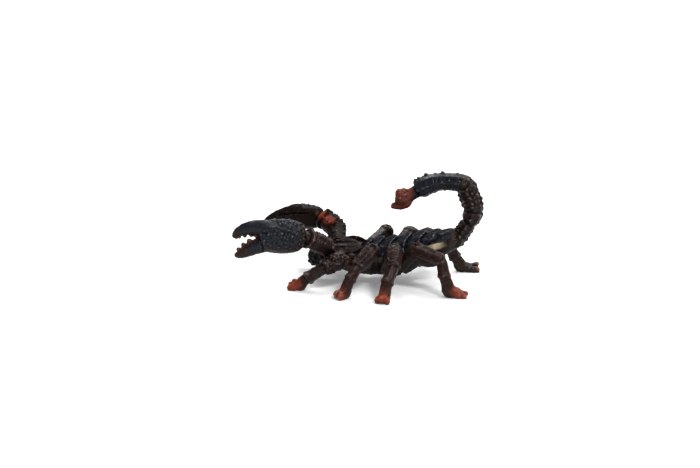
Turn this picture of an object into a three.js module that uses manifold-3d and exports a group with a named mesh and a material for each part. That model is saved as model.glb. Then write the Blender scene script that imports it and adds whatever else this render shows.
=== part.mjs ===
// A moulded vinyl scorpion figure that stands on its feet, with both pincers held out in front and the tail
// curled up over its back. Millimetres, +Z up. The head points along -X and the tail along +X, so the
// animal's left side is -Y. The origin is on the table, under the middle of the figure.
//
// The trunk is one moulding. The tail, the pincer arms, the legs and the jaws are mouldings of their own, and
// each has a round peg that is glued into a socket in the trunk.

import * as THREE from "three";
import { mergeVertices } from "three/addons/utils/BufferGeometryUtils.js";
import Module from "manifold-3d";

const wasm = await Module();
wasm.setup();

// Driving dimensions
const GLUE_GAP = 0.3; // room for glue between a limb and the trunk, and round each peg
const LIMB_PEG = 1.5; // peg radii
const JAW_PEG = 1;
const TAIL_PEG = 2.1;
const PEG_LENGTH = 4;
const HEAD_FRONT = -18;
const TAIL_ROOT = 45.6;
const PLATE_RISE = 0.8; // how far each back plate's rear edge stands over the next plate's front
const LEG_WIDTHS = { thigh: 3.7, knee: 3.8, shin: 3.5, ankle: 3.4, foot: 3.4 };
const ARM_WIDTHS = { upper: 4, fore: 4.8 };
const LEG_SIDES = 7;
const ARM_SIDES = 10;
const HAND_SIDES = 14;
const FINGER_SIDES = 8;
const TAIL_SIDES = 10;
const TRUNK_SIDES = 18;
const LOBE_SIDES = 10;
const PEG_SIDES = 8;
const LEFT = -1;
const RIGHT = 1;

const UP = new THREE.Vector3(0, 0, 1);
const point = (x, y, z) => new THREE.Vector3(x, y, z);

// A closed geometry as a manifold-3d solid
function solidOf(geometry) {
  const bare = geometry.clone();
  bare.deleteAttribute("normal");
  bare.deleteAttribute("uv");
  const merged = mergeVertices(bare, 1e-3);
  return new wasm.Manifold(
    new wasm.Mesh({
      numProp: 3,
      vertProperties: new Float32Array(merged.attributes.position.array),
      triVerts: new Uint32Array(merged.index.array),
    }),
  );
}

// A skin over cross-sections: a cylinder whose rows of points are moved to the rings, one row for each.
// A ring is { at, wide, up, down }: its middle, its half width, and its reach above and below the middle.
// The hint says which way is up for the rings.
function skin(rings, sides, hint = UP) {
  const last = rings.length - 1;
  const geometry = new THREE.CylinderGeometry(1, 1, 1, sides, last);
  const frames = rings.map((ring, i) => {
    const before = rings[Math.max(i - 1, 0)].at;
    const after = rings[Math.min(i + 1, last)].at;
    const along = ring.along ?? after.clone().sub(before).normalize();
    const up = hint.clone().addScaledVector(along, -hint.dot(along)).normalize();
    return { up, across: up.clone().cross(along) };
  });
  const place = geometry.attributes.position;
  for (let i = 0; i < place.count; i++) {
    const row = Math.round((0.5 - place.getY(i)) * last);
    const ring = rings[row];
    const reach = place.getZ(i) > 0 ? ring.up : ring.down;
    const moved = ring.at
      .clone()
      .addScaledVector(frames[row].across, place.getX(i) * ring.wide)
      .addScaledVector(frames[row].up, place.getZ(i) * reach);
    place.setXYZ(i, moved.x, moved.y, moved.z);
  }
  return solidOf(geometry);
}

// One jointed segment of a limb, from one joint to the next: it starts narrow inside the last segment,
// swells, and ends in a flared collar. flat is its thickness as a share of its width.
const SEGMENT_PROFILE = [
  [-0.1, 0.55],
  [0, 0.86],
  [0.5, 0.96],
  [0.92, 1.06],
  [1.1, 0.6],
];

function segment(from, to, width, sides, { flat = 1, hint = UP, profile = SEGMENT_PROFILE } = {}) {
  const along = to.clone().sub(from).normalize();
  const rings = profile.map(([share, size]) => ({
    at: from.clone().lerp(to, share),
    along,
    wide: width * size,
    up: width * size * flat,
    down: width * size * flat,
  }));
  return skin(rings, sides, hint);
}

function roundBar(from, direction, radius, reach) {
  const geometry = new THREE.CylinderGeometry(radius, radius, reach * 2, PEG_SIDES);
  geometry.applyQuaternion(new THREE.Quaternion().setFromUnitVectors(point(0, 1, 0), direction));
  geometry.translate(from.x, from.y, from.z);
  return solidOf(geometry);
}

const joined = (solids) => solids.reduce((whole, solid) => whole.add(solid));

// A limb cut back from the trunk, with its round peg, and the socket that the peg is glued into
function plugged(limb, root, inward, radius) {
  return {
    limb: limb.subtract(roomRoundTrunk).add(roundBar(root, inward, radius, PEG_LENGTH)),
    socket: roundBar(root, inward, radius + GLUE_GAP, PEG_LENGTH + GLUE_GAP),
  };
}

// Trunk: the head shield with its two long lobes, the plated back that rises to the tail, and the belly.
// Each row is a section: x, height of its middle, half width, reach up, reach down. A back plate's row is at
// its rear edge.
const HEAD_SECTIONS = [
  [HEAD_FRONT, 14.6, 3, 1.6, 2.4],
  [-16.5, 14.4, 6, 3.2, 4.4],
  [-13, 13.6, 8.6, 4.4, 6.4],
  [-8, 13, 10.4, 5.2, 7.8],
  [-2, 12.8, 11.4, 5.6, 8.8],
  [1.8, 12.8, 11.8, 5.6, 9.2],
];
const BACK_PLATES = [
  [5.2, 12.8, 12.2, 6.8, 9.4],
  [10.6, 13.2, 13, 7.8, 9.4],
  [17, 13.8, 13.6, 8.4, 9.2],
  [23.6, 14.8, 13.2, 8.8, 8.4],
  [30.4, 16.4, 12, 8.4, 7.2],
  [37.6, 18.2, 9.8, 7.4, 5.6],
];
const TRUNK_END = [
  [41.5, 19.6, 7.4, 6.4, 5.2],
  [TAIL_ROOT - GLUE_GAP, 21, 5, 5, 4.8],
];

function section([x, middle, wide, up, down], grow, rise = 0) {
  return {
    at: point(x, 0, middle),
    along: point(1, 0, 0),
    wide: wide + grow + rise,
    up: up + grow + rise,
    down: down + grow,
  };
}

function headLobe(side, grow) {
  const lobe = (x, y, z, wide, high) => ({
    at: point(x, side * y, z),
    along: point(1, 0, 0),
    wide: wide + grow,
    up: high + grow,
    down: high + grow,
  });
  const rings = [
    lobe(-17.4, 3.8, 16.2, 1, 1),
    lobe(-14, 5.2, 17, 3, 2.4),
    lobe(-8.4, 6.6, 17.4, 4.3, 3),
    lobe(-3, 6.6, 17.6, 4.2, 3),
    lobe(0.6, 5.6, 17.6, 2.4, 2),
  ];
  return skin(rings, LOBE_SIDES);
}

function trunk(grow) {
  const plates = BACK_PLATES.flatMap((plate, i) => {
    const next = BACK_PLATES[i + 1] ?? TRUNK_END[0];
    const dip = [plate[0] + 1.2, ...plate.slice(1)];
    const halfWay = plate.map((value, k) => (value + next[k]) / 2);
    return [
      section(plate, grow, PLATE_RISE),
      section(dip, grow, -PLATE_RISE),
      section(halfWay, grow, -PLATE_RISE / 2),
    ];
  });
  const rings = [
    ...HEAD_SECTIONS.map((row) => section(row, grow)),
    ...plates,
    ...TRUNK_END.map((row) => section(row, grow)),
  ];
  rings[0].at.x -= grow;
  return joined([skin(rings, TRUNK_SIDES), headLobe(LEFT, grow), headLobe(RIGHT, grow)]);
}

const roomRoundTrunk = trunk(GLUE_GAP);

// Legs: the joints from hip to toe, as x, distance out from the middle, and height. The two sides are posed
// a little apart from each other, as the figure is.
const LEFT_LEGS = [
  [[-6.5, 10.5, 11], [-8.6, 15.8, 13.6], [-15.6, 20, 11.2], [-23.6, 21.8, 6], [-27, 21, 2.6], [-30, 19.8, 2]],
  [[3, 11, 11], [6.6, 21.5, 19.8], [1.2, 27, 14.4], [-2.2, 31, 8.8], [-4.6, 32.2, 2.7], [-7, 33.6, 2]],
  [[13, 12, 11], [17.6, 23.2, 20.8], [17.8, 30.2, 15.2], [15.4, 35.4, 8.8], [14.4, 37, 2.7], [13.8, 39.6, 2]],
  [[22.5, 11.5, 12.4], [28.4, 17, 19.8], [39.4, 22, 17], [41, 24, 9.6], [43.4, 24.6, 2.7], [49.8, 23.8, 2]],
];
const RIGHT_LEGS = [
  [[-5, 10.5, 10], [-9.2, 18.6, 12], [-13.4, 25, 10.6], [-16.4, 29, 6.4], [-18, 31, 2.6], [-19.4, 33.6, 2]],
  [[2, 10.6, 12], [9.2, 22, 18.8], [6, 27.4, 13.4], [2.2, 32.2, 7.8], [0, 34.6, 2.7], [-2, 36.6, 2]],
  [[13, 12, 11], [20, 24, 17.8], [24.2, 29.6, 14.8], [23, 35.4, 8], [22.2, 37.4, 2.7], [21.8, 40.2, 2]],
  [[22.5, 11.5, 12.4], [30.2, 17, 18.8], [39.4, 20.8, 14.4], [43.4, 21.4, 7], [46, 21.6, 2.7], [53.3, 22.8, 2]],
];
const FOOT_PROFILE = [
  [-0.3, 0.84],
  [0.3, 1],
  [1.3, 0.95],
  [1.6, 0.5],
];
const BELOW_TABLE = new THREE.BoxGeometry(300, 300, 20).translate(0, 0, -10);

function leg(side, joints) {
  const [hip, knee, shin, ankle, foot, toe] = joints.map(([x, out, z]) => point(x, side * out, z));
  const ahead = point(-1, 0, 0.2);
  const insideTrunk = hip.clone().lerp(knee, -0.35);
  const whole = joined([
    segment(insideTrunk, knee, LEG_WIDTHS.thigh, LEG_SIDES, { hint: ahead }),
    segment(knee, shin, LEG_WIDTHS.knee, LEG_SIDES, { hint: ahead }),
    segment(shin, ankle, LEG_WIDTHS.shin, LEG_SIDES, { hint: ahead }),
    segment(ankle, foot, LEG_WIDTHS.ankle, LEG_SIDES, { hint: UP }),
    segment(foot, toe, LEG_WIDTHS.foot, LEG_SIDES, { hint: UP, flat: 0.9, profile: FOOT_PROFILE }),
  ]);
  const inward = hip.clone().sub(knee).normalize();
  return plugged(whole.subtract(solidOf(BELOW_TABLE)), hip, inward, LIMB_PEG);
}

// Pincer arms: root, elbow, wrist, and the knuckle where the hand ends. The left pincer is open, the right
// one nearly shut. A finger's row is x, distance out from the middle, height, and half height.
const HAND_SHAPE = [
  [-0.08, 0.5],
  [0.06, 0.74],
  [0.24, 0.92],
  [0.5, 1],
  [0.78, 0.94],
  [1, 0.7],
  [1.12, 0.4],
];

const LEFT_ARM = {
  root: [-12.5, 8, 14.4],
  elbow: [-16.8, 16.2, 20.8],
  wrist: [-24.2, 24, 26.6],
  knuckle: [-43, 31.2, 28.6],
  upperFinger: [
    [-40, 30.8, 32, 4.1],
    [-45, 31.4, 32.4, 3.7],
    [-50.8, 31.5, 31.5, 3],
    [-54.4, 31, 29.8, 2.2],
    [-57.2, 30.4, 27.2, 0.9],
  ],
  lowerFinger: [
    [-39, 30.4, 25.2, 3.8],
    [-44.6, 31, 23.8, 3.7],
    [-50.9, 31.5, 20.8, 2.9],
    [-54.2, 31.3, 19.1, 2],
    [-56.4, 31, 18.8, 0.9],
  ],
  tall: 8,
  thick: 5.4,
};
const RIGHT_ARM = {
  root: [-12.5, 8, 14.4],
  elbow: [-14.8, 18.6, 20.6],
  wrist: [-22.8, 24.6, 24.6],
  knuckle: [-40, 29.6, 23.9],
  upperFinger: [
    [-36, 29.4, 25.4, 3.9],
    [-42.4, 30.6, 24.6, 3.3],
    [-47.2, 30.4, 23, 2.6],
    [-51, 29.4, 21.4, 1.8],
    [-53.4, 28.4, 20, 0.8],
  ],
  lowerFinger: [
    [-35, 29, 20.6, 3.4],
    [-41, 29.6, 19.4, 2.9],
    [-45.6, 29.4, 18, 2.2],
    [-49, 28.8, 17.2, 1.5],
    [-51.2, 28, 17.1, 0.8],
  ],
  tall: 6.6,
  thick: 5.2,
};

const FINGER_FLATNESS = 0.85;

function finger(rows, side) {
  const rings = rows.map(([x, out, z, size]) => ({
    at: point(x, side * out, z),
    wide: size * FINGER_FLATNESS,
    up: size,
    down: size,
  }));
  return skin(rings, FINGER_SIDES);
}

function arm(side, shape) {
  const at = ([x, out, z]) => point(x, side * out, z);
  const [root, elbow, wrist, knuckle] = [shape.root, shape.elbow, shape.wrist, shape.knuckle].map(at);
  const along = knuckle.clone().sub(wrist).normalize();
  const hand = HAND_SHAPE.map(([share, size]) => ({
    at: wrist.clone().lerp(knuckle, share),
    along,
    wide: shape.thick * size,
    up: shape.tall * size,
    down: shape.tall * size,
  }));
  const whole = joined([
    segment(root.clone().lerp(elbow, -0.15), elbow, ARM_WIDTHS.upper, ARM_SIDES),
    segment(elbow, wrist, ARM_WIDTHS.fore, ARM_SIDES),
    skin(hand, HAND_SIDES),
    finger(shape.upperFinger, side),
    finger(shape.lowerFinger, side),
  ]);
  return plugged(whole, root, root.clone().sub(elbow).normalize(), LIMB_PEG);
}

// Jaws: two short blunt jaws side by side under the front of the head shield
const JAW_ROWS = [
  [-15, 3.4, 12.2, 2.3, 3],
  [-18, 3.6, 12.1, 3.2, 4],
  [-21.6, 3.6, 12, 3.2, 4.2],
  [-24.4, 3.5, 11.8, 2.6, 3.4],
  [-26, 3.3, 11.8, 1.3, 1.9],
];

function jaw(side) {
  const rings = JAW_ROWS.map(([x, out, z, wide, high]) => ({
    at: point(x, side * out, z),
    wide,
    up: high,
    down: high,
  }));
  return plugged(skin(rings, ARM_SIDES), point(-17, side * 2.8, 12.2), point(1, 0, 0), JAW_PEG);
}

// Tail: five ribbed segments that curl up and forward, then the round sting bulb and its blunt sting.
// Each row is a joint: x, z, and the half width of the segment that ends there.
const TAIL_JOINTS = [
  [TAIL_ROOT, 22.2, 4.6],
  [50.6, 28.4, 4.6],
  [52.6, 35.6, 5.1],
  [49.8, 48.2, 5.1],
  [38, 50.2, 5],
  [25.2, 45, 5],
];
const TAIL_PROFILE = [
  [-0.06, 0.5],
  [0.03, 0.84],
  [0.5, 0.96],
  [0.9, 1.04],
  [1.02, 0.94],
  [1.1, 0.5],
];
const STING_ROWS = [
  [24.8, 44.2, 2.8],
  [23, 43.2, 3.4],
  [20.4, 41.6, 4.3],
  [18, 39.8, 4.3],
  [16.4, 38, 3.2],
  [15.2, 37.2, 2.4],
  [13.6, 37, 1.9],
  [12.6, 37.1, 1],
];

function tail() {
  const joints = TAIL_JOINTS.map(([x, z]) => point(x, 0, z));
  const across = point(0, 1, 0);
  const segments = TAIL_JOINTS.slice(1).map(([, , size], i) =>
    segment(joints[i], joints[i + 1], size, TAIL_SIDES, { hint: across, profile: TAIL_PROFILE }),
  );
  const sting = STING_ROWS.map(([x, z, size]) => ({ at: point(x, 0, z), wide: size, up: size, down: size }));
  const whole = joined([...segments, skin(sting, TAIL_SIDES, across)]);
  return plugged(whole, point(TAIL_ROOT, 0, 22.2), point(-1, 0, -0.25).normalize(), TAIL_PEG);
}

// Finishes: satin vinyl, dark brown, blue-black or black
const vinyl = (color, roughness) => new THREE.MeshStandardMaterial({ color, roughness, metalness: 0 });
const SHELL = vinyl(0x2a2a30, 0.5);
const LIMB = vinyl(0x38281f, 0.45);
const PINCER = vinyl(0x30292a, 0.5);
const KNOBBLY = vinyl(0x34292a, 0.5);
const JAW = vinyl(0x1e1a19, 0.5);

function meshOf(name, solid, material) {
  const made = solid.getMesh();
  const geometry = new THREE.BufferGeometry()
    .setAttribute("position", new THREE.BufferAttribute(made.vertProperties, 3))
    .setIndex(new THREE.BufferAttribute(made.triVerts, 1));
  geometry.computeVertexNormals();
  const mesh = new THREE.Mesh(geometry, material);
  mesh.name = name;
  return mesh;
}

const limbs = [
  ["tail", tail(), KNOBBLY],
  ["left_pincer_arm", arm(LEFT, LEFT_ARM), PINCER],
  ["right_pincer_arm", arm(RIGHT, RIGHT_ARM), PINCER],
  ["left_jaw", jaw(LEFT), JAW],
  ["right_jaw", jaw(RIGHT), JAW],
  ...LEFT_LEGS.map((joints, i) => [`left_leg_${i + 1}`, leg(LEFT, joints), LIMB]),
  ...RIGHT_LEGS.map((joints, i) => [`right_leg_${i + 1}`, leg(RIGHT, joints), LIMB]),
];

const sockets = joined(limbs.map(([, { socket }]) => socket));
const figure = new THREE.Group();
figure.add(meshOf("trunk", trunk(0).subtract(sockets), SHELL));
for (const [name, { limb }, material] of limbs) {
  figure.add(meshOf(name, limb, material));
}

export default figure;
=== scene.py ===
import math
import random

import bpy
import numpy as np
from mathutils import Matrix, Vector


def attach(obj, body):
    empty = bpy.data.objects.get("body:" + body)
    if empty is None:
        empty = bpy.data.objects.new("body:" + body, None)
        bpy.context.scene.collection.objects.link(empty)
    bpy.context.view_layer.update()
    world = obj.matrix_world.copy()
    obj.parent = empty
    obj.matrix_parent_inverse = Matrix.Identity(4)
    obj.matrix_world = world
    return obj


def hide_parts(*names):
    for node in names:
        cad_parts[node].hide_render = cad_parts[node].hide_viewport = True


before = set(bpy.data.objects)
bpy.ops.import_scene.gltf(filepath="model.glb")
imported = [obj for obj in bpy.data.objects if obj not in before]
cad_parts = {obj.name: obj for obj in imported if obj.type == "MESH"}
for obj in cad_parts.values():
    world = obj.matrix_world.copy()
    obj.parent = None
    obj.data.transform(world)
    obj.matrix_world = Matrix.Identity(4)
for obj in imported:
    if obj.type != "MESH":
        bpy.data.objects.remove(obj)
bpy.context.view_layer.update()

# Table, light and camera
# The figure stands on a plain white sheet under large soft panels, seen through a long lens from a little
# above the table and a little towards its head.
MM = 0.001
CAMERA_TURN = math.radians(7)
CAMERA_RISE = math.radians(14)
CAMERA_DISTANCE = 0.791
LOOKED_AT = Vector((-6, 0, 22.7)) * MM

bpy.ops.mesh.primitive_plane_add(size=12, location=(0, 0, 0))
table = bpy.context.object
table.name = "table"
white_sheet = bpy.data.materials.new("white_sheet")
white_sheet.use_nodes = True
sheet_shader = white_sheet.node_tree.nodes["Principled BSDF"]
sheet_shader.inputs["Base Color"].default_value = (0.9, 0.9, 0.9, 1)
sheet_shader.inputs["Roughness"].default_value = 0.9
sheet_shader.inputs["Specular IOR Level"].default_value = 0.1
sheet_shader.inputs["Emission Color"].default_value = (1, 1, 1, 1)
sheet_shader.inputs["Emission Strength"].default_value = 0.2
table.data.materials.append(white_sheet)

toward_camera = Vector((
    math.sin(CAMERA_TURN) * math.cos(CAMERA_RISE),
    -math.cos(CAMERA_TURN) * math.cos(CAMERA_RISE),
    math.sin(CAMERA_RISE),
))
bpy.ops.object.camera_add(location=LOOKED_AT + toward_camera * CAMERA_DISTANCE)
camera = bpy.context.object
camera.rotation_euler = toward_camera.to_track_quat("Z", "Y").to_euler()
camera.data.lens = 85
camera.data.sensor_width = 36
camera.data.clip_start = 0.01
bpy.context.scene.camera = camera

world = bpy.data.worlds.new("studio")
world.use_nodes = True
world.node_tree.nodes["Background"].inputs["Color"].default_value = (1, 1, 1, 1)
world.node_tree.nodes["Background"].inputs["Strength"].default_value = 0.2
bpy.context.scene.world = world
bpy.context.scene.view_settings.view_transform = "Standard"

bpy.ops.object.light_add(type="SUN", rotation=(math.radians(-24), math.radians(16), 0))
ceiling = bpy.context.object
ceiling.name = "white_ceiling"
ceiling.data.angle = math.radians(75)
ceiling.data.energy = 2.6


def soft_panel(name, place, size, power):
    """A square light panel that faces the figure."""
    bpy.ops.object.light_add(type="AREA", location=Vector(place))
    panel = bpy.context.object
    panel.name = name
    panel.rotation_euler = (Vector(place) - LOOKED_AT).to_track_quat("Z", "Y").to_euler()
    panel.data.size = size
    panel.data.energy = power


soft_panel("front_panel", (0.34, -0.5, 0.62), 0.16, 4)
soft_panel("rear_panel", (-0.2, 0.45, 0.7), 0.24, 2.4)

# Trunk
# One vinyl moulding that all the others are glued into: a head shield with two long rimmed lobes, a back of
# overlapping plates that rise to a low crest, a paler fold along each flank, and a grooved belly.

# Rows across it are (x, height of the middle, half width, rise above the middle, drop below it).
HEAD_ROWS = [
    (-18, 14.6, 2.6, 1.4, 2.2),
    (-17.2, 14.6, 5, 2.8, 3.6),
    (-15.5, 14.4, 7, 3.6, 5.2),
    (-13, 14, 8.6, 4, 6.6),
    (-8, 13.4, 10.2, 4.8, 8),
    (-2, 12.9, 11, 5.6, 8.9),
    (0.4, 12.8, 11.4, 5.8, 9.1),
]
PLATE_EDGES = [
    (2, 12.8, 11.7, 6, 9.2),
    (5.4, 12.8, 12.3, 6.5, 9.3),
    (10.8, 13.2, 13, 7.1, 9.3),
    (17, 13.8, 13.4, 7.4, 9.1),
    (24, 14.8, 13, 7.9, 8.5),
    (30.8, 16.4, 11.8, 7.5, 7.4),
    (37.2, 18.6, 9.6, 6.4, 6),
]
TAIL_END_ROWS = [
    (41.5, 20.4, 7.2, 6.4, 5.6),
    (44, 21.5, 5.2, 5.4, 4.9),
    (45.3, 22.2, 3.9, 4.3, 4.2),
]
# Shares of the way along a plate, and how far its skin stands out there.
PLATE_RAMP = [
    (0.03, -0.8), (0.12, -0.75), (0.3, -0.45), (0.5, -0.15), (0.7, 0.2), (0.84, 0.55), (0.93, 0.85),
    (0.99, 0.95),
]
# Degrees from the top, and how far forwards a plate's edge sweeps there.
EDGE_LEAN = ((0, 33, 60, 78, 95, 130, 180), (0, 2.6, 3, 2.4, 2.8, 1.6, 0))
# Places along the trunk, and the degrees from the top at which the plates end there.
PLATE_MARGIN = ((0, 10, 20, 30, 38), (78, 75, 71, 62, 54))
# The fold along each flank: places along the trunk, and its height there.
FLANK_LINE = ((-7, 8.5, 20, 28, 33, 37, 41.5), (15, 13.7, 15.2, 17.6, 19.6, 20.4, 21))
# Each leg's root: where the leg comes out, where the root ends under the chest, and its half width.
LEG_ROOTS = [
    ((-6.5, 9.6, 9.8), (-2.6, 2.6, 5.4), 3),
    ((3, 10.2, 9.4), (3.4, 2.8, 5), 3),
    ((12.8, 10.8, 9.4), (8.6, 3, 5.2), 3),
    ((22, 10.2, 10.4), (12.6, 3.2, 5.6), 3.2),
]
ROOT_SWELL = ((-0.1, 0.8), (0, 1), (0.4, 0.9), (0.8, 0.7), (1, 0.5))
SHOULDER_LUMPS = [
    (-8.2, 9.8, 14.4, 1.6),
    (-6, 10.6, 13.4, 1.5),
    (-4.4, 10.4, 15.2, 1.3),
    (-11.4, 8.6, 13.2, 1.5),
]
COMB = [(14.4, 2, 4.5), (16.2, 4, 4.5), (17.4, 6.2, 5), (18, 8.2, 6)]
HEAD_GROOVE = [(-16, 0, 18), (-8, 0, 18.4), (0, 0, 18.8)]
CHEST_GROOVE = [(-12, 0, 6.2), (2, 0, 4), (11, 0, 4)]
BELLY_GROOVES = [(14.5, 4.6), (20.4, 5.6), (26.4, 7.4), (32.6, 9.8), (38.2, 12.6)]


def bar(rows, sides):
    """A straight bar of unit radius, drawn out of a disc row by row along Z."""
    bpy.ops.object.select_all(action="DESELECT")
    bpy.ops.mesh.primitive_circle_add(vertices=sides, radius=1, fill_type="NGON")
    bpy.ops.object.mode_set(mode="EDIT")
    for _ in range(rows - 1):
        bpy.ops.mesh.extrude_region_move(TRANSFORM_OT_translate={"value": (0, 0, 1)})
    bpy.ops.mesh.select_all(action="SELECT")
    bpy.ops.mesh.normals_make_consistent(inside=False)
    bpy.ops.object.mode_set(mode="OBJECT")
    return bpy.context.object


def eased(rows, steps):
    """Rows of numbers with more rows put in between, on a smooth curve through them all."""
    rows = np.array(rows, float)
    ends = np.vstack([2 * rows[0] - rows[1], rows, 2 * rows[-1] - rows[-2]])
    out = []
    for i in range(1, len(ends) - 2):
        a, b, c, d = ends[i - 1 : i + 3]
        for t in np.arange(steps) / steps:
            bend = (2 * a - 5 * b + 4 * c - d) * t**2 + (3 * b - a - 3 * c + d) * t**3
            out.append(0.5 * (2 * b + (c - a) * t + bend))
    out.append(rows[-1])
    return np.array(out)


def ring_frames(rings, up):
    """For each ring, its centre and the directions across and up, square to the line through the centres."""
    centres = [Vector(ring[:3]) for ring in rings]
    frames = []
    for i, centre in enumerate(centres):
        along = (centres[min(i + 1, len(centres) - 1)] - centres[max(i - 1, 0)]).normalized()
        upward = (Vector(up) - along * Vector(up).dot(along)).normalized()
        frames.append((centre, upward.cross(along), upward))
    return frames


def lofted(rings, sides=20, up=(0, 0, 1), facets=0, crisp=0.7, dish=0, dish_width=0.5, keels=()):
    """A bar bent and swelled along rings of (x, y, z, half width, half height), in millimetres. Facets gives
    the section soft corners, dish presses a hollow into the upper face, and each keel is a ridge of (degrees
    from the upper side, share of the radius, degrees of width)."""
    frames = ring_frames(rings, up)
    piece = bar(len(rings), sides)
    last = len(rings) - 1
    for vertex in piece.data.vertices:
        row = round(vertex.co.z)
        centre, across, upward = frames[row]
        wide, high = rings[row][3:5]
        x, y = vertex.co.x, vertex.co.y
        turn = math.atan2(x, y)
        swell = 1
        if facets:
            corner = turn % (2 * math.pi / facets) - math.pi / facets
            swell = 1 - crisp + crisp * math.cos(math.pi / facets) / math.cos(corner)
        for degrees, height, width in keels:
            gap = (math.degrees(turn) - degrees + 180) % 360 - 180
            swell += height * math.exp(-((gap / width) ** 2))
        rise = y * swell * high
        if dish and y > 0:
            rise -= dish * math.exp(-((x / dish_width) ** 4)) * math.sin(math.pi * row / last) ** 0.7
        vertex.co = (centre + across * x * swell * wide + upward * rise) * MM
    return piece


def skin_point(rings, up, at, turn, sunk):
    """The place on a loft's skin at a ring number, fractions allowed, and degrees from its upper side."""
    low = min(int(at), len(rings) - 2)
    first, second = np.array(rings[low]), np.array(rings[low + 1])
    ring = first + (second - first) * (at - low)
    along = Vector(second[:3] - first[:3]).normalized()
    upward = (Vector(up) - along * Vector(up).dot(along)).normalized()
    sideways = upward.cross(along) * math.sin(math.radians(turn)) * (ring[3] - sunk)
    upwards = upward * math.cos(math.radians(turn)) * (ring[4] - sunk)
    return Vector(ring[:3]) + sideways + upwards


def scattered(draw, rings, up, at, turn, spread, sunk):
    """A place on a loft's skin moved by chance, by up to so many rings and so many degrees."""
    at += draw.uniform(-spread[0], spread[0])
    turn += draw.uniform(-spread[1], spread[1])
    return skin_point(rings, up, at, turn, sunk)


def paces(rings, pitch):
    """Ring numbers at an even pitch along a loft."""
    run = np.cumsum(np.linalg.norm(np.diff(np.array(rings)[:, :3], axis=0), axis=1))
    return np.interp(np.arange(pitch / 2, run[-1], pitch), np.append(0, run), np.arange(len(rings)))


def ridge(points, size, taper=0.5):
    """A slim round ridge along points, in millimetres, thinner at its two ends."""
    last = len(points) - 1
    rings = []
    for i, point in enumerate(points):
        thick = size * (taper + (1 - taper) * math.sin(math.pi * i / last) ** 0.5)
        rings.append((*point, thick, thick))
    return lofted(rings, 8, up=(0.13, 0.21, 0.97))


def studs(places):
    """Small bumps at (centre, radius, length), each a copy of one ball, stretched along a length vector."""
    bpy.ops.object.select_all(action="DESELECT")
    bpy.ops.mesh.primitive_ico_sphere_add(subdivisions=2, radius=1)
    ball = bpy.context.object
    copies = []
    for centre, radius, length in places:
        stud = ball.copy()
        stud.data = ball.data.copy()
        shape = Matrix.Scale(radius * MM, 4)
        if length:
            shape = Matrix.Scale(1 + length.length, 4, length.normalized()) @ shape
        stud.data.transform(Matrix.Translation(Vector(centre) * MM) @ shape)
        bpy.context.collection.objects.link(stud)
        copies.append(stud)
    bpy.data.objects.remove(ball)
    return copies


def lump(place, reach):
    """An egg-shaped lump with a reach along each axis, in millimetres."""
    bpy.ops.object.select_all(action="DESELECT")
    bpy.ops.mesh.primitive_uv_sphere_add(segments=24, ring_count=14, radius=1)
    egg = bpy.context.object
    egg.scale = [r * MM for r in reach]
    egg.location = Vector(place) * MM
    bpy.ops.object.transform_apply(location=True, rotation=True, scale=True)
    return egg


def fused(name, solids, voxel=0.27):
    """One moulding out of overlapping solids: joined, remeshed into one skin, softened, and made a little
    uneven, as a hand-sculpted master is."""
    bpy.ops.object.select_all(action="DESELECT")
    for solid in solids:
        solid.select_set(True)
    bpy.context.view_layer.objects.active = solids[0]
    bpy.ops.object.join()
    piece = bpy.context.object
    piece.name = piece.data.name = name
    skin = piece.modifiers.new("one_skin", "REMESH")
    skin.mode = "VOXEL"
    skin.voxel_size = voxel * MM
    bpy.ops.object.modifier_apply(modifier=skin.name)
    soften = piece.modifiers.new("soften", "SMOOTH")
    soften.factor = 0.5
    soften.iterations = 2
    bpy.ops.object.modifier_apply(modifier=soften.name)
    for kind, pitch in (("SOFT_NOISE", 1.9), ("HARD_NOISE", 1.1)):
        lumps = bpy.data.textures.new(name + "_unevenness", "CLOUDS")
        lumps.noise_type = kind
        lumps.noise_scale = pitch * MM
        uneven = piece.modifiers.new("uneven", "DISPLACE")
        uneven.texture = lumps
        uneven.texture_coords = "LOCAL"
        uneven.strength = 0.3 * MM
        bpy.ops.object.modifier_apply(modifier=uneven.name)
    bpy.ops.object.shade_smooth()
    return piece


def numbers(piece, what, kind, width):
    """One kind of number from every vertex or edge of a piece, as an array."""
    source = getattr(piece.data, what)
    flat = np.empty(len(source) * width, kind)
    source.foreach_get({"vertices": "co", "edges": "vertices"}[what], flat)
    return flat.reshape(-1, width)


def corners(piece):
    """The piece's vertices as an array, in millimetres."""
    return numbers(piece, "vertices", np.float32, 3).astype(float) / MM


def outwards(piece):
    """The direction outwards at each vertex."""
    flat = np.empty(len(piece.data.vertices) * 3, np.float32)
    piece.data.vertices.foreach_get("normal", flat)
    return flat.reshape(-1, 3)


def near_line(places, line):
    """For each place, its distance from a line of points and how far along the line that is."""
    best = np.full(len(places), 1e9)
    along = np.zeros(len(places))
    done = 0
    for start, end in zip(line, line[1:]):
        start, end = np.array(start, float), np.array(end, float)
        step = end - start
        length = np.linalg.norm(step)
        share = np.clip((places - start) @ step / length**2, 0, 1)
        gap = np.linalg.norm(places - start - share[:, None] * step, axis=1)
        closer = gap < best
        best[closer] = gap[closer]
        along[closer] = done + share[closer] * length
        done += length
    return best, along


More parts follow.
